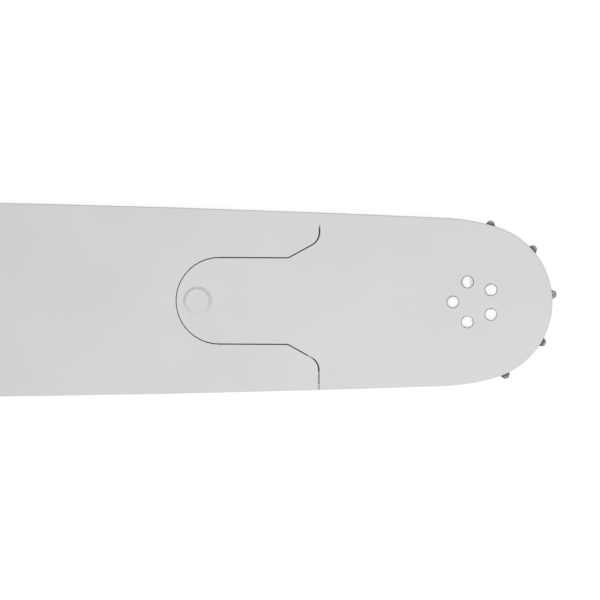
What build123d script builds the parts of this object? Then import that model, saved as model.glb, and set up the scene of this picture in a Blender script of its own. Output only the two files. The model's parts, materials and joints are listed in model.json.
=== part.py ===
"""Chainsaw guide bar with a replaceable sprocket nose.

A solid steel bar body carries the chain in a groove that runs round its edge. Its front end is
milled down on both faces to a thin web. The nose tip is two cheek plates on a core plate: their
tongues straddle the web and one large rivet holds them. A toothed wheel turns between the cheeks
on loose needle rollers, round a race that five rivets pin in place.

Millimetres. The bar lies flat, z = 0 is its lower face and +Z points up out of the upper face.
The origin is the centre of the stud slot, and +X runs along the bar to the nose.
"""

import os
from math import asin, atan2, cos, floor, hypot, pi, radians, sin, sqrt, tan

from build123d import *

# Bar plate
overall_length = 580.0  # tail end to nose tip, without the teeth
bar_thickness = 5.2
belly = 5.6  # how much further each long edge stands out at mid length than at the wheel
nose_rise = 1.45  # how far the line of the long edge passes outside the nose arc
nose_ease_radius = 70.0  # arc that eases the long edge into the nose arc
tail_corner_radius = 20.0
edge_break = 0.4  # chamfer along the rails

# Chain that the bar carries
chain_pitch = 10.26
wheel_teeth = 10
rivet_line_height = 6.0  # chain rivets above the rails
groove_width = 1.6
groove_depth = 9.5

# Tail
slot_length = 75.0
slot_width = 12.1
slot_inset = 14.0  # tail end to the slot
slot_wall = 3.0  # between the slot and a tension hole
tension_hole_diameter = 7.5
tension_hole_inset = 26.0  # tail end to the holes' centres
oil_hole_diameter = 3.5
oil_hole_inset = 58.0  # tail end to the holes' centres
oil_hole_depth = 5.5  # rail edge to the hole's centre, above the groove floor

# Nose tip joint
shoulder_to_wheel = 52.4
tongue_reach = 48.85  # shoulder to the end of the tongue
tongue_width = 29.05
flare_length = 10.8
flare_angle = 29.0
flare_fillet = 3.2
shoulder_fillet = 5.1
end_gap = 0.31  # seam round the end of the tongue
side_gap = 0.41  # seam along the tongue's sides and the flares
shoulder_gap = 0.55  # seam along the shoulders
tongue_rivet_inset = 7.0  # end of the tongue to the rivet's centre
tongue_rivet_diameter = 9.3
tongue_rivet_proud = 0.25  # the formed head stands this far out of the upper face
tongue_rivet_slope = 72.0  # lean of the formed head's edge, degrees

# Rivets and wheel bearing
rivet_clearance = 0.02
nose_rivet_count = 5
nose_rivet_circle = 14.3
nose_rivet_start = 180.0  # the first rivet lies towards the tail, degrees
nose_rivet_diameter = 3.86
nose_rivet_ring = 0.22  # width of the countersunk ring round each rivet's end
nose_rivet_ring_angle = 90.0  # of the countersink, degrees
race_rim = 0.72  # race material outside the rivet holes
roller_diameter = 3.6
roller_play = 0.03  # radial running clearance on each side of a roller
roller_spacing = 0.05  # least gap between neighbouring rollers
side_play = 0.05  # running clearance on each face of the wheel and the rollers

# Wheel
tooth_reach = 1.6  # teeth beyond the nose edge
tooth_width = 3.4  # at the nose edge
tooth_crest = 1.7  # width at the tip
tooth_round = 0.42  # share of the crest's width that each rounded corner takes
seat_radius = 3.8  # bottom of each tooth gap
wheel_rim = 4.0  # ring between the rollers and the tooth gaps
wheel_clearance = 0.7  # teeth to the core plate
wheel_rest_turn = 5.9  # first tooth above the centreline, degrees

# Places along the bar and through its thickness
rail_thickness = (bar_thickness - groove_width) / 2
mid_height = bar_thickness / 2
pitch_radius = chain_pitch / (2 * sin(pi / (2 * wheel_teeth)))
nose_radius = pitch_radius - rivet_line_height
tail_x = -(slot_inset + slot_length / 2)
nose_x = tail_x + overall_length
mid_x = (tail_x + nose_x) / 2
wheel_x = nose_x - nose_radius
shoulder_x = wheel_x - shoulder_to_wheel
tongue_x = shoulder_x - tongue_reach
tongue_rivet_x = tongue_x + tongue_rivet_inset

# Long edge: one large arc, level at mid length
half_length = wheel_x - mid_x
half_width = nose_radius + nose_rise + belly
flank_radius = (half_length**2 + belly**2) / (2 * belly)
flank_centre = Vector(mid_x, half_width - flank_radius)


def flank_y(x):
    """Distance of a long edge from the centreline at this place along the bar."""
    return flank_centre.Y + sqrt(flank_radius**2 - (x - mid_x) ** 2)


# Easing arc: inside the long edge's arc, round the nose arc, and tangent to both
wheel_centre = Vector(wheel_x, 0)
to_flank = flank_centre - wheel_centre
ease_from_wheel = nose_ease_radius - nose_radius
ease_from_flank = flank_radius - nose_ease_radius
ease_along = (ease_from_wheel**2 - ease_from_flank**2 + to_flank.length**2) / (2 * to_flank.length)
ease_across = sqrt(ease_from_wheel**2 - ease_along**2)
flank_way = to_flank.normalized()
ease_centre = wheel_centre + flank_way * ease_along + Vector(flank_way.Y, -flank_way.X) * ease_across
ease_start = wheel_centre + (wheel_centre - ease_centre).normalized() * nose_radius
ease_end = flank_centre + (ease_centre - flank_centre).normalized() * flank_radius
ease_middle = ease_centre + ((ease_start + ease_end) * 0.5 - ease_centre).normalized() * nose_ease_radius

# Outline of the whole bar: the upper edge from the nose to the tail, and its mirror image
with BuildSketch() as bar_outline:
    with BuildLine():
        CenterArc(wheel_centre, nose_radius, 0, (ease_start - wheel_centre).get_angle(Vector(1, 0)))
        ThreePointArc(ease_start, ease_middle, ease_end)
        ThreePointArc(ease_end, (mid_x, half_width), (tail_x, flank_y(tail_x)))
        Line((tail_x, flank_y(tail_x)), (tail_x, 0))
        mirror(about=Plane.XZ)
    make_face()
    fillet(bar_outline.vertices().group_by(Axis.X)[0], tail_corner_radius)

with BuildSketch() as groove_floor:
    add(bar_outline.sketch)
    offset(amount=-groove_depth)

# Outline of the nose tip: tongue, flares and shoulders, running on past the nose
beyond_y = half_width + tongue_width / 2
beyond_x = nose_x + tongue_width / 2


def tip_shape(off_end, off_sides, off_shoulders):
    """The nose tip's outline, let out by these gaps to make the seat that takes it."""
    end_x = tongue_x - off_end
    side_y = tongue_width / 2 + off_sides
    side_x = end_x + side_y
    flare_x = shoulder_x - flare_length - off_sides * tan(radians(flare_angle / 2))
    stop_x = shoulder_x - off_shoulders
    stop_y = side_y + (stop_x - flare_x) * tan(radians(flare_angle))
    with BuildSketch() as shape:
        with BuildLine():
            TangentArc((end_x, 0), (side_x, side_y), tangent=(0, 1))
            FilletPolyline(
                (side_x, side_y),
                (flare_x, side_y),
                (stop_x, stop_y),
                (stop_x, beyond_y),
                radius=(flare_fillet - off_sides, shoulder_fillet - off_sides),
            )
            Polyline((stop_x, beyond_y), (beyond_x, beyond_y), (beyond_x, 0))
            mirror(about=Plane.XZ)
        make_face()
    return shape.sketch


tip_outline = tip_shape(0, 0, 0)
tip_seat = tip_shape(end_gap, side_gap, shoulder_gap)

os.makedirs("parts", exist_ok=True)

# Bar body: one plate with the chain groove, the seats for the nose tip and the tail's openings
tension_hole_x = tail_x + tension_hole_inset
tension_hole_y = slot_width / 2 + slot_wall + tension_hole_diameter / 2
oil_hole_x = tail_x + oil_hole_inset
oil_hole_y = flank_y(oil_hole_x) - oil_hole_depth

with BuildPart() as bar_body:
    with BuildSketch():
        add(bar_outline.sketch)
    extrude(amount=bar_thickness)
    chamfer(bar_body.faces().filter_by(Axis.Z).edges(), edge_break)
    with BuildSketch(Plane.XY.offset(rail_thickness)):
        add(bar_outline.sketch)
        add(groove_floor.sketch, mode=Mode.SUBTRACT)
    extrude(amount=groove_width, mode=Mode.SUBTRACT)
    with BuildSketch(Plane.XY, Plane.XY.offset(bar_thickness - rail_thickness)):
        add(tip_seat)
    extrude(amount=rail_thickness, mode=Mode.SUBTRACT)
    with BuildSketch(Plane.XY.offset(rail_thickness)):
        with Locations((shoulder_x - shoulder_gap, 0)):
            Rectangle(beyond_x, 2 * beyond_y, align=(Align.MIN, Align.CENTER))
    extrude(amount=groove_width, mode=Mode.SUBTRACT)
    with BuildSketch():
        SlotOverall(slot_length, slot_width)
    extrude(amount=bar_thickness, mode=Mode.SUBTRACT)
    with Locations((tension_hole_x, tension_hole_y), (tension_hole_x, -tension_hole_y)):
        Hole(tension_hole_diameter / 2)
    with Locations((oil_hole_x, oil_hole_y), (oil_hole_x, -oil_hole_y)):
        Hole(oil_hole_diameter / 2)
    with Locations((tongue_rivet_x, 0)):
        Hole(tongue_rivet_diameter / 2 + rivet_clearance)
bar_body.part.label = "bar_body"
export_step(bar_body.part, "parts/bar_body.step")

# Nose cheeks: the same plate outline cut to the tip, chamfered and countersunk on the outer face
nose_rivet_hole_radius = nose_rivet_diameter / 2 + rivet_clearance

with BuildPart() as nose_cheek_lower:
    with BuildSketch():
        add(bar_outline.sketch)
    extrude(amount=rail_thickness)
    chamfer(nose_cheek_lower.faces().sort_by(Axis.Z)[0].edges(), edge_break)
    with BuildSketch():
        add(tip_outline)
    extrude(amount=rail_thickness, mode=Mode.INTERSECT)
    with Locations((tongue_rivet_x, 0)):
        Hole(tongue_rivet_diameter / 2 + rivet_clearance)
    with Locations(Plane((wheel_x, 0, 0), x_dir=(1, 0, 0), z_dir=(0, 0, -1))):
        with PolarLocations(nose_rivet_circle / 2, nose_rivet_count, nose_rivet_start):
            CounterSinkHole(
                nose_rivet_hole_radius,
                nose_rivet_hole_radius + nose_rivet_ring,
                counter_sink_angle=nose_rivet_ring_angle,
            )
nose_cheek_lower.part.label = "nose_cheek_lower"
export_step(nose_cheek_lower.part, "parts/nose_cheek_lower.step")

with BuildPart() as nose_cheek_upper:
    mirror(nose_cheek_lower.part, about=Plane.XY.offset(mid_height))
nose_cheek_upper.part.label = "nose_cheek_upper"
export_step(nose_cheek_upper.part, "parts/nose_cheek_upper.step")

# Wheel: a flat star, its gaps round at the bottom for the chain's drive links
tip_radius = nose_radius + tooth_reach
wheel_thickness = groove_width - 2 * side_play
race_radius = nose_rivet_circle / 2 + nose_rivet_hole_radius + race_rim
roller_circle_radius = race_radius + roller_play + roller_diameter / 2
wheel_bore_radius = roller_circle_radius + roller_diameter / 2 + roller_play
root_radius = wheel_bore_radius + wheel_rim
crest_round = tooth_round * tooth_crest
crest_angle = pi / wheel_teeth - asin(tooth_crest / 2 / tip_radius)
crest_corner = Vector(tip_radius * cos(crest_angle), tip_radius * sin(crest_angle))
flank_angle = pi / wheel_teeth - asin(tooth_width / 2 / nose_radius)
flank_corner = Vector(nose_radius * cos(flank_angle), nose_radius * sin(flank_angle))
beyond_crest = crest_corner + (crest_corner - flank_corner)
seat_centre = Vector(root_radius + seat_radius, 0)
seat_to_flank = flank_corner - seat_centre
tooth_angle = atan2(seat_to_flank.Y, seat_to_flank.X) - asin(seat_radius / seat_to_flank.length)
tooth_foot = seat_centre + Vector(-sin(tooth_angle), cos(tooth_angle)) * seat_radius

with BuildSketch() as tooth_gap:
    with BuildLine():
        TangentArc((root_radius, 0), tooth_foot, tangent=(0, 1))
        Polyline(tooth_foot, flank_corner, beyond_crest, (beyond_crest.X, 0))
        mirror(about=Plane.XZ)
    make_face()

with BuildPart() as nose_sprocket:
    with BuildSketch(Plane((wheel_x, 0, rail_thickness + side_play))) as star:
        Circle(tip_radius)
        with PolarLocations(0, wheel_teeth, wheel_rest_turn + 180 / wheel_teeth):
            add(tooth_gap.sketch, mode=Mode.SUBTRACT)
        crest_line = (nose_radius + tip_radius) / 2
        crests = star.vertices().filter_by(lambda corner: hypot(corner.X, corner.Y) > crest_line)
        fillet(crests, crest_round)
        Circle(wheel_bore_radius, mode=Mode.SUBTRACT)
    extrude(amount=wheel_thickness)
nose_sprocket.part.label = "nose_sprocket"
export_step(nose_sprocket.part, "parts/nose_sprocket.step")

# Nose core: spacer between the cheeks, from the shoulder to the hollow that the wheel turns in
with BuildPart() as nose_core:
    with BuildSketch(Plane.XY.offset(rail_thickness)):
        add(groove_floor.sketch)
        with Locations((shoulder_x, 0)):
            Rectangle(beyond_x, 2 * beyond_y, align=(Align.MIN, Align.CENTER), mode=Mode.INTERSECT)
        with Locations((wheel_x, 0)):
            Circle(tip_radius + wheel_clearance, mode=Mode.SUBTRACT)
    extrude(amount=groove_width)
nose_core.part.label = "nose_core"
export_step(nose_core.part, "parts/nose_core.step")

# Bearing: a race pinned between the cheeks, with loose rollers round it
with BuildPart() as bearing_race:
    with BuildSketch(Plane((wheel_x, 0, rail_thickness))):
        Circle(race_radius)
        with PolarLocations(nose_rivet_circle / 2, nose_rivet_count, nose_rivet_start):
            Circle(nose_rivet_hole_radius, mode=Mode.SUBTRACT)
    extrude(amount=groove_width)
bearing_race.part.label = "bearing_race"
export_step(bearing_race.part, "parts/bearing_race.step")

roller_room = 2 * asin((roller_diameter + roller_spacing) / 2 / roller_circle_radius)
roller_count = floor(2 * pi / roller_room)
for index in range(roller_count):
    turn = 2 * pi * index / roller_count
    roller_x = wheel_x + roller_circle_radius * cos(turn)
    roller_y = roller_circle_radius * sin(turn)
    with BuildPart() as roller:
        with BuildSketch(Plane((roller_x, roller_y, rail_thickness + side_play))):
            Circle(roller_diameter / 2)
        extrude(amount=wheel_thickness)
    roller.part.label = f"roller_{index + 1:02d}"
    export_step(roller.part, f"parts/{roller.part.label}.step")

# Rivets: the five through the race are ground flush, the large one has a low formed head
with BuildPart() as nose_rivets:
    with BuildSketch(Plane((wheel_x, 0, 0))):
        with PolarLocations(nose_rivet_circle / 2, nose_rivet_count, nose_rivet_start):
            Circle(nose_rivet_diameter / 2)
    extrude(amount=bar_thickness)
nose_rivets.part.label = "nose_rivets"
export_step(nose_rivets.part, "parts/nose_rivets.step")

with BuildPart() as tongue_rivet:
    with BuildSketch(Plane((tongue_rivet_x, 0, 0))):
        Circle(tongue_rivet_diameter / 2)
    extrude(amount=bar_thickness)
    with BuildSketch(Plane((tongue_rivet_x, 0, bar_thickness))):
        Circle(tongue_rivet_diameter / 2)
    extrude(amount=tongue_rivet_proud, taper=tongue_rivet_slope)
tongue_rivet.part.label = "tongue_rivet"
export_step(tongue_rivet.part, "parts/tongue_rivet.step")
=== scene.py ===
import json
import math

import bmesh
import bpy
from mathutils import Matrix, Vector, noise


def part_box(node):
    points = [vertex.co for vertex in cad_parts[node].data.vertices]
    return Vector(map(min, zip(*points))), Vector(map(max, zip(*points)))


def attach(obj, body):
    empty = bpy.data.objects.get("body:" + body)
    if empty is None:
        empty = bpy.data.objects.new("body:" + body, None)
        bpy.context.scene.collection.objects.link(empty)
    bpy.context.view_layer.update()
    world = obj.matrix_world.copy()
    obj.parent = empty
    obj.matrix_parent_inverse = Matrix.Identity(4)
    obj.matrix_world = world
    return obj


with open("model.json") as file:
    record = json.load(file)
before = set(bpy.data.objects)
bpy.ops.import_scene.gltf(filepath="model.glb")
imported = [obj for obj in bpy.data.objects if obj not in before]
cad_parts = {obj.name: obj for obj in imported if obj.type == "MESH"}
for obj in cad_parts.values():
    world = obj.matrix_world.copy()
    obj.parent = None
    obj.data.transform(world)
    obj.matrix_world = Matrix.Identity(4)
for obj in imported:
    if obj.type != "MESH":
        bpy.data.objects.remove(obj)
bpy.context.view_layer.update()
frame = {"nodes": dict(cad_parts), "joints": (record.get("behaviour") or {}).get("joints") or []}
nodes = frame["nodes"]


# Bar body. One solid steel plate, sprayed pale grey all over. The rails are ground bare afterwards,
# where the chain slides, and the groove milled between them is dark with oil. The walls of the stud
# slot and of the tension holes stay painted.
plate_low, plate_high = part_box("bar_body")
mid_height = (plate_low.z + plate_high.z) / 2
rail_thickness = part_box("nose_cheek_lower")[1].z - plate_low.z
groove_half_width = mid_height - plate_low.z - rail_thickness
groove_blur = 0.00003
painted_tail_length = 0.041  # each way from the origin, takes in the slot and the tension holes
painted_tail_width = 0.018
wall_begins = 0.62  # upward share of a face's direction: chamfers have more, walls have less
wall_is_full = 0.50

tongue_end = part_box("nose_cheek_upper")[0].x
seam_start = plate_high.x
seam_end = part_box("nose_core")[0].x
seam_margin = 0.0006
rail_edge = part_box("nose_cheek_upper")[1].y
least_seam_shade = 0.75  # share of the painted shade in the seam round the tongue's end

rivet_count = 5
rivet_radius = 0.00193
rivet_ring = 0.00022  # open countersink round each rivet
ring_shade_full = 0.8  # share of the ring's width
ring_shade_ends = 1.1
least_ring_shade = 0.68  # share of the painted shade in the rings on the -Y side
wheel_spin = next(joint for joint in frame["joints"] if joint["name"] == "wheel_spin")
wheel_centre = Vector(wheel_spin["pos_m"])
rivet_circle = wheel_centre.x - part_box("nose_rivets")[0].x - rivet_radius
rivet_centres = []
for index in range(rivet_count):
    turn = math.pi + index * math.tau / rivet_count
    rivet_centres.append(wheel_centre + rivet_circle * Vector((math.cos(turn), math.sin(turn), 0)))
tongue_rivet_low, tongue_rivet_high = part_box("tongue_rivet")
tongue_rivet_centre = (tongue_rivet_low + tongue_rivet_high) / 2
tongue_rivet_radius = (tongue_rivet_high.x - tongue_rivet_low.x) / 2
tongue_rivet_skirt = 0.0008  # width of the sloping edge of its head
skirt_blur = 0.00012
shade_spread = 0.0009  # of the painted shade beyond the head, on the side of the nose
least_skirt_shade = 0.08  # share of the painted shade, on the -Y side, which faces the lamp
most_skirt_shade = 0.54

paint_pale = (0.652, 0.646, 0.668, 1.0)
paint_deep = (0.612, 0.607, 0.627, 1.0)
paint_roughness = (0.42, 0.52)
cloud_size = 0.035
speckle_size = 0.0005
speckle_share = 0.35
sheen_size = 0.006
peel_size = 0.0016  # gentle waves that spraying leaves
peel_depth = 0.000010
painted_ring_shade = (0.085, 0.082, 0.080, 1.0)
painted_skirt_shade = (0.400, 0.395, 0.400, 1.0)
painted_seam_shade = (0.030, 0.029, 0.028, 1.0)
rail_bright = (0.640, 0.630, 0.615, 1.0)
rail_dull = (0.450, 0.442, 0.432, 1.0)
groove_oily = (0.070, 0.066, 0.062, 1.0)
groove_milled = (0.150, 0.144, 0.138, 1.0)
metal_roughness = (0.30, 0.48)
grinding_size = 0.00010
grinding_stretch = (180.0, 180.0, 1.0)


def put(tree, socket, value):
    """Link a node's output to a socket, or set the socket to a plain value."""
    if isinstance(value, bpy.types.NodeSocket):
        tree.links.new(value, socket)
    else:
        socket.default_value = value


def reckon(tree, operation, *values):
    """The result of one sum."""
    node = tree.nodes.new("ShaderNodeMath")
    node.operation = operation
    for socket, value in zip(node.inputs, values):
        put(tree, socket, value)
    return node.outputs["Value"]


def fade(tree, value, start, end, low=0.0, high=1.0):
    """Go from low at start to high at end, and stay level beyond them."""
    node = tree.nodes.new("ShaderNodeMapRange")
    settings = {"Value": value, "From Min": start, "From Max": end, "To Min": low, "To Max": high}
    for name, setting in settings.items():
        put(tree, node.inputs[name], setting)
    return node.outputs["Result"]


def vary(tree, pattern, low=0.0, high=1.0, half_range=0.2):
    """Spread a soft noise from low to high. Most of it lies within the half range of one half."""
    return fade(tree, pattern, 0.5 - half_range, 0.5 + half_range, low, high)


def tint(tree, share, first, second):
    """A colour between two colours."""
    node = tree.nodes.new("ShaderNodeMixRGB")
    put(tree, node.inputs["Fac"], share)
    put(tree, node.inputs["Color1"], first)
    put(tree, node.inputs["Color2"], second)
    return node.outputs["Color"]


def parts(tree, vector):
    """The three parts of a vector."""
    node = tree.nodes.new("ShaderNodeSeparateXYZ")
    put(tree, node.inputs["Vector"], vector)
    return node.outputs["X"], node.outputs["Y"], node.outputs["Z"]


def grain(tree, place, size, detail=2.0, stretch=(1.0, 1.0, 1.0)):
    """Soft noise whose features are about this many metres across, longer along a stretched axis."""
    mapping = tree.nodes.new("ShaderNodeMapping")
    mapping.inputs["Scale"].default_value = [1 / (size * times) for times in stretch]
    put(tree, mapping.inputs["Vector"], place)
    node = tree.nodes.new("ShaderNodeTexNoise")
    node.inputs["Scale"].default_value = 1.0
    node.inputs["Detail"].default_value = detail
    put(tree, node.inputs["Vector"], mapping.outputs["Vector"])
    return node.outputs["Fac"]


def bumps(tree, height, depth):
    """The surface's direction once a pattern raises it by up to this many metres."""
    node = tree.nodes.new("ShaderNodeBump")
    node.inputs["Distance"].default_value = depth
    put(tree, node.inputs["Height"], height)
    return node.outputs["Normal"]


def from_axis(tree, place, centre):
    """Distance of the surface from an upright axis."""
    x, y, z = parts(tree, place)
    across = reckon(tree, "SUBTRACT", x, centre.x)
    along = reckon(tree, "SUBTRACT", y, centre.y)
    squared = reckon(tree, "MULTIPLY_ADD", across, across, reckon(tree, "MULTIPLY", along, along))
    return reckon(tree, "SQRT", squared)


def new_finish(name):
    """A new material with its node tree, its shader and the places on the surface."""
    material = bpy.data.materials.new(name)
    material.use_nodes = True
    tree = material.node_tree
    shader = tree.nodes["Principled BSDF"]
    place = tree.nodes.new("ShaderNodeTexCoord").outputs["Object"]
    return material, tree, shader, place


def wears(name, material):
    """Give a CAD node this finish."""
    nodes[name].material_slots[0].material = material


# Where the rails, the groove and the seam are.
bar_paint, tree, shader, place = new_finish("bar_paint")
x, y, z = parts(tree, place)
in_length = reckon(tree, "LESS_THAN", reckon(tree, "ABSOLUTE", x), painted_tail_length)
in_width = reckon(tree, "LESS_THAN", reckon(tree, "ABSOLUTE", y), painted_tail_width)
past_openings = reckon(tree, "SUBTRACT", 1.0, reckon(tree, "MULTIPLY", in_length, in_width))
direction = tree.nodes.new("ShaderNodeTexCoord").outputs["Normal"]
upward = reckon(tree, "ABSOLUTE", parts(tree, direction)[2])
is_rail = reckon(tree, "MULTIPLY", fade(tree, upward, wall_begins, wall_is_full), past_openings)
from_middle = reckon(tree, "ABSOLUTE", reckon(tree, "SUBTRACT", z, mid_height))
groove_edge = groove_half_width + groove_blur
between_rails = fade(tree, from_middle, groove_edge + groove_blur, groove_edge)
is_groove = reckon(tree, "MULTIPLY", between_rails, past_openings)
inside_end = reckon(tree, "GREATER_THAN", x, tongue_end - seam_margin)
inside_shoulder = reckon(tree, "LESS_THAN", x, seam_end + seam_margin)
inside_edge = reckon(tree, "LESS_THAN", reckon(tree, "ABSOLUTE", y), rail_edge - seam_margin)
by_the_tip = reckon(tree, "MULTIPLY", reckon(tree, "MULTIPLY", inside_end, inside_shoulder), inside_edge)
is_seam = reckon(tree, "MULTIPLY", is_rail, by_the_tip)
is_metal = reckon(tree, "MAXIMUM", reckon(tree, "SUBTRACT", is_rail, is_seam), is_groove)

# Paint, a little cloudy and speckled.
cloudy = reckon(tree, "MULTIPLY", grain(tree, place, cloud_size), 1 - speckle_share)
speckle = grain(tree, place, speckle_size)
paint_share = reckon(tree, "MULTIPLY_ADD", speckle, speckle_share, cloudy)
colour = tint(tree, vary(tree, paint_share), paint_deep, paint_pale)

# Painted shade on the edge of the large rivet's head, heavier on the +Y side away from the lamp and
# reaching further out on the side of the nose, and in the rings round the small rivets, heavier on +Y.
to_tongue_rivet = from_axis(tree, place, tongue_rivet_centre)
skirt_top = tongue_rivet_radius - tongue_rivet_skirt
inner_share = fade(tree, to_tongue_rivet, skirt_top - skirt_blur, skirt_top + skirt_blur)
spread = fade(tree, x, tongue_rivet_centre.x, tongue_rivet_high.x, skirt_blur, shade_spread)
shade_ends = reckon(tree, "ADD", spread, tongue_rivet_radius)
outer_share = fade(tree, to_tongue_rivet, shade_ends, tongue_rivet_radius)
on_skirt = reckon(tree, "MULTIPLY", inner_share, outer_share)
shaded_side = fade(tree, y, -tongue_rivet_radius, 0.0, least_skirt_shade, most_skirt_shade)
colour = tint(tree, reckon(tree, "MULTIPLY", on_skirt, shaded_side), colour, painted_skirt_shade)
shaded_rings = fade(tree, y, 0.0, rivet_circle / 2, least_ring_shade, 1.0)
ring_clean = rivet_radius + ring_shade_ends * rivet_ring
ring_dirty = rivet_radius + ring_shade_full * rivet_ring
for rivet_centre in rivet_centres:
    in_ring = fade(tree, from_axis(tree, place, rivet_centre), ring_clean, ring_dirty)
    colour = tint(tree, reckon(tree, "MULTIPLY", in_ring, shaded_rings), colour, painted_ring_shade)

# Ground rails and oily groove; painted shade on the seam's walls, lighter towards the tongue's end.
grinding = grain(tree, place, grinding_size, detail=3.0, stretch=grinding_stretch)
ground = tint(tree, vary(tree, grinding, half_range=0.15), rail_dull, rail_bright)
milled = tint(tree, vary(tree, grinding), groove_oily, groove_milled)
colour = tint(tree, is_rail, colour, ground)
colour = tint(tree, is_groove, colour, milled)
seam_shade_share = fade(tree, x, tongue_end, seam_end, least_seam_shade, 1.0)
colour = tint(tree, reckon(tree, "MULTIPLY", is_seam, seam_shade_share), colour, painted_seam_shade)
put(tree, shader.inputs["Base Color"], colour)
put(tree, shader.inputs["Metallic"], is_metal)

paint_sheen = vary(tree, grain(tree, place, sheen_size), *paint_roughness)
metal_sheen = vary(tree, grinding, *metal_roughness)
sheen_change = reckon(tree, "SUBTRACT", metal_sheen, paint_sheen)
put(tree, shader.inputs["Roughness"], reckon(tree, "MULTIPLY_ADD", is_metal, sheen_change, paint_sheen))
put(tree, shader.inputs["Normal"], bumps(tree, grain(tree, place, peel_size, detail=1.0), peel_depth))
wears("bar_body", bar_paint)


# Nose cheeks and tongue rivet. Two stamped plates are let into the bar body, flush with its faces, and
# one large rivet through their tongues holds them. All are sprayed together with the bar.
wears("nose_cheek_lower", bar_paint)
wears("nose_cheek_upper", bar_paint)
wears("tongue_rivet", bar_paint)


# Seam paint. The paint has run into the ends of the narrow seam between the bar and the nose tip. It
# closes the seam flush at one rail, stays sunk and broken at the other, and bridges both underneath.
# A bead of it has dried in the seam, where one flare begins.
edge_break = 0.0004  # chamfer along the rails
corner_radius = 0.00490  # of the seam's middle, where the shoulder turns into the flare
corner_start = 0.02348  # from the centreline
corner_turn = math.radians(40.0)  # to just past the groove's floor
corner_steps = 8
flare_turn = math.radians(61.0)  # to where the flare begins
paint_depth = 0.0003
lump_size = 0.0007
lengthwise_cuts = 6
bead_size = Vector((0.0026, 0.0005, 0.0010))
bead_depth = 0.0002  # of its top
bead_from_corner = 0.0006
bead_lumps = 0.00012
seam_middle = (seam_start + seam_end) / 2
corner_centre = Vector((seam_middle - corner_radius, corner_start, 0))


def dried(shape, name):
    """Turn a shape into a piece of the bar's paint."""
    mesh = bpy.data.meshes.new(name)
    shape.to_mesh(mesh)
    shape.free()
    piece = bpy.data.objects.new(name, mesh)
    bpy.context.scene.collection.objects.link(piece)
    piece.data.materials.append(bar_paint)
    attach(piece, "bar")


def seam_paint(name, side, upper, levels, bends, lumps):
    """Paint in the seam on one side of the centreline, from the rail's edge inwards.

    The levels are distances from the centreline, each with the depth of the paint there.
    """
    shape = bmesh.new()
    across = [shape.verts.new((x, levels[0][0], -levels[0][1])) for x in (seam_start, seam_end)]
    front = [shape.edges.new(across)]
    for (here, deep), (further_in, deeper) in zip(levels, levels[1:]):
        added = bmesh.ops.extrude_edge_only(shape, edges=front)["geom"]
        moved = [item for item in added if isinstance(item, bmesh.types.BMVert)]
        bmesh.ops.translate(shape, verts=moved, vec=(0, further_in - here, deep - deeper))
        front = [edge for edge in shape.edges if edge.verts[0] in moved and edge.verts[1] in moved]
    if bends:
        bmesh.ops.spin(shape, geom=front, cent=corner_centre, axis=(0, 0, 1), angle=-corner_turn,
                       steps=corner_steps)
    lengthwise = [edge for edge in shape.edges if edge.calc_length() > 2 * lump_size]
    bmesh.ops.subdivide_edges(shape, edges=lengthwise, cuts=lengthwise_cuts, use_grid_fill=True)
    for vert in shape.verts:
        vert.co.z -= lumps * (1 + noise.noise(vert.co / lump_size)) / 2
    added = bmesh.ops.extrude_face_region(shape, geom=shape.faces[:], use_keep_orig=True)["geom"]
    moved = [item for item in added if isinstance(item, bmesh.types.BMVert)]
    bmesh.ops.translate(shape, verts=moved, vec=(0, 0, -paint_depth))
    bmesh.ops.scale(shape, verts=shape.verts, vec=(1, side, 1 if upper else -1))
    bmesh.ops.translate(shape, verts=shape.verts, vec=(0, 0, plate_high.z if upper else plate_low.z))
    bmesh.ops.recalc_face_normals(shape, faces=shape.faces)
    dried(shape, name)


flush = ((rail_edge, edge_break), (rail_edge - edge_break, 0.0))
closed = flush + ((0.0271, 0.0), (0.0262, 0.0002), (0.0257, 0.0003), (0.0250, 0.0011))
broken = ((rail_edge, 0.0013), (rail_edge - edge_break, 0.0011), (0.0291, 0.0009), (0.02855, 0.00035))
sunk = broken + ((0.0282, 0.00035), (0.0275, 0.0012), (0.0238, 0.0013))
bridged = flush + ((corner_start, 0.0),)
seam_paint("seam_paint_left", side=1, upper=True, levels=closed, bends=False, lumps=0.00002)
seam_paint("seam_paint_right", side=-1, upper=True, levels=sunk, bends=False, lumps=0.00020)
seam_paint("seam_paint_left_under", side=1, upper=False, levels=bridged, bends=True, lumps=0.00004)
seam_paint("seam_paint_right_under", side=-1, upper=False, levels=bridged, bends=True, lumps=0.00004)

flare_start = corner_centre + corner_radius * Vector((math.cos(flare_turn), -math.sin(flare_turn), 0))
bead_place = flare_start - bead_from_corner * Vector((math.sin(flare_turn), math.cos(flare_turn), 0))
bead = bmesh.new()
bmesh.ops.create_icosphere(bead, subdivisions=3, radius=0.5)
bmesh.ops.scale(bead, verts=bead.verts, vec=bead_size)
for vert in bead.verts:
    vert.co.z += bead_lumps * noise.noise(vert.co / lump_size)
bmesh.ops.rotate(bead, verts=bead.verts, matrix=Matrix.Rotation(flare_turn - math.pi / 2, 3, "Z"))
bead_top = plate_high.z - bead_depth
bmesh.ops.translate(bead, verts=bead.verts, vec=(bead_place.x, -bead_place.y, bead_top - bead_size.z / 2))
dried(bead, "seam_paint_bead")


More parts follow.
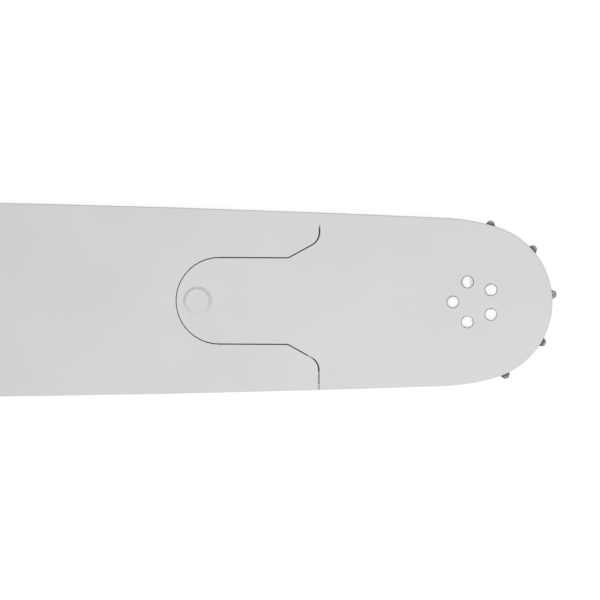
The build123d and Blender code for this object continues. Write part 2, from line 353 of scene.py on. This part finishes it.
# Nose core. A plain steel plate behind the wheel, which fills the nose tip between the two cheeks and
# keeps them apart. It is oiled and left bare, with the marks of rolling along it.
core_dark = (0.110, 0.106, 0.102, 1.0)
core_light = (0.210, 0.204, 0.197, 1.0)
core_roughness = (0.36, 0.54)
rolling_size = 0.0003
rolling_stretch = (40.0, 1.0, 1.0)
rolling_depth = 0.000006
core_steel, tree, shader, place = new_finish("core_steel")
rolling = grain(tree, place, rolling_size, detail=3.0, stretch=rolling_stretch)
put(tree, shader.inputs["Base Color"], tint(tree, vary(tree, rolling), core_dark, core_light))
put(tree, shader.inputs["Roughness"], vary(tree, rolling, *core_roughness))
put(tree, shader.inputs["Normal"], bumps(tree, rolling, rolling_depth))
shader.inputs["Metallic"].default_value = 1.0
wears("nose_core", core_steel)


# Nose wheel. A flat star of hardened steel that turns between the cheeks. It is dark from hardening,
# and lighter towards the tips of the teeth. Painted shade of the cheeks' edges darkens the base of each
# tooth, further out on the teeth away from the bar's middle line.
wheel_dark_and_shade = (0.040, 0.039, 0.039, 1.0)
wheel_tip_tone = (0.400, 0.396, 0.395, 1.0)
wheel_roughness = (0.34, 0.52)
tip_tone_begins = 0.0262  # from the axle
tip_tone_full = 0.0272
shade_lag = 0.0007  # the painted shade at the base reaches this much further out on the most shaded teeth
least_shaded_teeth = 0.00437  # from the bar's middle line, as the wheel stands at rest
most_shaded_teeth = 0.0131
faintest_tips = 0.65
blotch_size = 0.0012
scratch_size = 0.00015
scratch_stretch = (12.0, 1.0, 1.0)
scratch_depth = 0.000006
wheel_steel, tree, shader, place = new_finish("wheel_steel")
aside = reckon(tree, "ABSOLUTE", parts(tree, place)[1])
lag = fade(tree, aside, least_shaded_teeth, most_shaded_teeth, 0.0, shade_lag)
from_axle = reckon(tree, "SUBTRACT", from_axis(tree, place, wheel_centre), lag)
tip_share = fade(tree, from_axle, tip_tone_begins, tip_tone_full)
uneven = vary(tree, grain(tree, place, blotch_size, detail=3.0), faintest_tips, 1.0)
colour = tint(tree, reckon(tree, "MULTIPLY", tip_share, uneven), wheel_dark_and_shade, wheel_tip_tone)
scratches = grain(tree, place, scratch_size, detail=3.0, stretch=scratch_stretch)
put(tree, shader.inputs["Base Color"], colour)
put(tree, shader.inputs["Roughness"], vary(tree, scratches, *wheel_roughness))
put(tree, shader.inputs["Normal"], bumps(tree, scratches, scratch_depth))
shader.inputs["Metallic"].default_value = 1.0
wears("nose_sprocket", wheel_steel)


# Wheel bearing. A hardened race, pinned between the cheeks, and loose rollers round it, all ground
# bright and greased.
bearing_bright = (0.720, 0.710, 0.695, 1.0)
bearing_greased = (0.430, 0.415, 0.385, 1.0)
bearing_roughness = (0.14, 0.34)
grease_size = 0.0025
bearing_steel, tree, shader, place = new_finish("bearing_steel")
grease = grain(tree, place, grease_size, detail=3.0)
greased = vary(tree, grease, half_range=0.15)
put(tree, shader.inputs["Base Color"], tint(tree, greased, bearing_bright, bearing_greased))
put(tree, shader.inputs["Roughness"], vary(tree, grease, *bearing_roughness, half_range=0.15))
shader.inputs["Metallic"].default_value = 1.0
for name in nodes:
    if name == "bearing_race" or name.startswith("roller_"):
        wears(name, bearing_steel)


# Nose rivets. Five steel rivets through the bearing, ground flush with the cheeks after spraying, so
# their ends are bright, with fine grinding marks across them and a rim that is greyer in places. The last
# one is greyer on the side of the nose.
rivet_bright = (0.990, 0.978, 0.970, 1.0)
rivet_grey = (0.660, 0.648, 0.642, 1.0)
rivet_roughness = (0.10, 0.20)
rim_begins = 0.0011  # from the rivet's axis
uneven_begins = 0.0004  # past the axis of the last rivet
uneven_is_full = 0.0012
uneven_share = 0.85
patch_size = 0.0024
mark_size = 0.00006
mark_stretch = (30.0, 1.0, 30.0)
mark_depth = 0.0000008
rivet_steel, tree, shader, place = new_finish("rivet_steel")
to_axis = from_axis(tree, place, rivet_centres[0])
for rivet_centre in rivet_centres[1:]:
    to_axis = reckon(tree, "MINIMUM", to_axis, from_axis(tree, place, rivet_centre))
patches = vary(tree, grain(tree, place, patch_size), half_range=0.10)
grey_rim = reckon(tree, "MULTIPLY", fade(tree, to_axis, rim_begins, rivet_radius), patches)
last_rivet = rivet_centres[-1]
on_last = fade(tree, from_axis(tree, place, last_rivet), 2 * rivet_radius, rivet_radius)
past_axis = reckon(tree, "SUBTRACT", parts(tree, place)[0], last_rivet.x)
uneven = fade(tree, past_axis, uneven_begins, uneven_is_full, 0.0, uneven_share)
grey_share = reckon(tree, "MAXIMUM", grey_rim, reckon(tree, "MULTIPLY", on_last, uneven))
marks = grain(tree, place, mark_size, stretch=mark_stretch)
put(tree, shader.inputs["Base Color"], tint(tree, grey_share, rivet_bright, rivet_grey))
put(tree, shader.inputs["Roughness"], vary(tree, marks, *rivet_roughness))
put(tree, shader.inputs["Normal"], bumps(tree, marks, mark_depth))
shader.inputs["Metallic"].default_value = 1.0
wears("nose_rivets", rivet_steel)


# Floor. A plain white table that the bar lies on, a hair below it so that their faces don't coincide.
# It looks white, and still takes the bar's soft shadow.
floor_size = 24.0
floor_gap = 0.00005
floor_glow = 0.90  # the eye sees this glow, and a matt part that takes the shadow
floor_matt = (0.14, 0.14, 0.14, 1.0)
floor_plain = (0.80, 0.80, 0.80, 1.0)  # what throws light back at the bar


def seen_by_eye(tree):
    """One for what the camera sees, directly or in gloss and glass, and nothing for other light."""
    path = tree.nodes.new("ShaderNodeLightPath")
    mirrored = reckon(tree, "MAXIMUM", path.outputs["Is Glossy Ray"], path.outputs["Is Transmission Ray"])
    return reckon(tree, "MAXIMUM", path.outputs["Is Camera Ray"], mirrored)


shape = bmesh.new()
bmesh.ops.create_grid(shape, x_segments=1, y_segments=1, size=floor_size / 2)
bmesh.ops.translate(shape, verts=shape.verts, vec=(0, 0, plate_low.z - floor_gap))
mesh = bpy.data.meshes.new("floor")
shape.to_mesh(mesh)
shape.free()
floor = bpy.data.objects.new("floor", mesh)
bpy.context.scene.collection.objects.link(floor)
floor_white = bpy.data.materials.new("floor_white")
floor_white.use_nodes = True
tree = floor_white.node_tree
tree.nodes.clear()
shadow = tree.nodes.new("ShaderNodeBsdfDiffuse")
shadow.inputs["Color"].default_value = floor_matt
glow = tree.nodes.new("ShaderNodeEmission")
glow.inputs["Strength"].default_value = floor_glow
white = tree.nodes.new("ShaderNodeAddShader")
put(tree, white.inputs[0], shadow.outputs["BSDF"])
put(tree, white.inputs[1], glow.outputs["Emission"])
plain = tree.nodes.new("ShaderNodeBsdfDiffuse")
plain.inputs["Color"].default_value = floor_plain
pick = tree.nodes.new("ShaderNodeMixShader")
put(tree, pick.inputs["Fac"], seen_by_eye(tree))
put(tree, pick.inputs[1], plain.outputs["BSDF"])
put(tree, pick.inputs[2], white.outputs["Shader"])
put(tree, tree.nodes.new("ShaderNodeOutputMaterial").inputs["Surface"], pick.outputs["Shader"])
floor.data.materials.append(floor_white)


# Light. A white room fills every shadow, and one soft lamp hangs above the nose, a little to its side.
# The lamp isn't seen itself, nor mirrored in the rivets.
room_white = (1.0, 1.0, 1.0, 1.0)
room_light = 0.55
lamp_size = 0.4
lamp_power = 1.60
lamp_place = Vector((0.53, -0.14, 0.48))
lamp_target = Vector((0.46, 0.0, 0.0))

room = bpy.data.worlds.new("room")
bpy.context.scene.world = room
room.use_nodes = True
tree = room.node_tree
tree.nodes.clear()
air = tree.nodes.new("ShaderNodeBackground")
air.inputs["Color"].default_value = room_white
put(tree, air.inputs["Strength"], fade(tree, seen_by_eye(tree), 0.0, 1.0, room_light, 1.0))
put(tree, tree.nodes.new("ShaderNodeOutputWorld").inputs["Surface"], air.outputs["Background"])

lamp = bpy.data.objects.new("soft_lamp", bpy.data.lights.new("soft_lamp", "AREA"))
bpy.context.scene.collection.objects.link(lamp)
lamp.data.size = lamp_size
lamp.data.energy = lamp_power
lamp.location = lamp_place
lamp.rotation_euler = (lamp_target - lamp_place).to_track_quat("-Z", "Y").to_euler()
lamp.visible_camera = False
lamp.visible_glossy = False


# Camera. Straight above the nose end with a long lens, as the bar was photographed. In the picture the
# bar leans a little, with its nose lower.
picture_width = 0.20427  # at the bar's upper face
picture_centre = Vector((0.4425, 0.00040))
picture_lean = math.radians(0.29)
lens_length = 200.0  # millimetres
sensor_width = 36.0
camera = bpy.data.objects.new("camera", bpy.data.cameras.new("camera"))
bpy.context.scene.collection.objects.link(camera)
camera.data.lens = lens_length
camera.data.sensor_width = sensor_width
distance = picture_width * lens_length / sensor_width
camera.location = (picture_centre.x, picture_centre.y, plate_high.z + distance)
camera.rotation_euler = (0.0, 0.0, picture_lean)
bpy.context.scene.camera = camera
bpy.context.scene.view_settings.view_transform = "Standard"
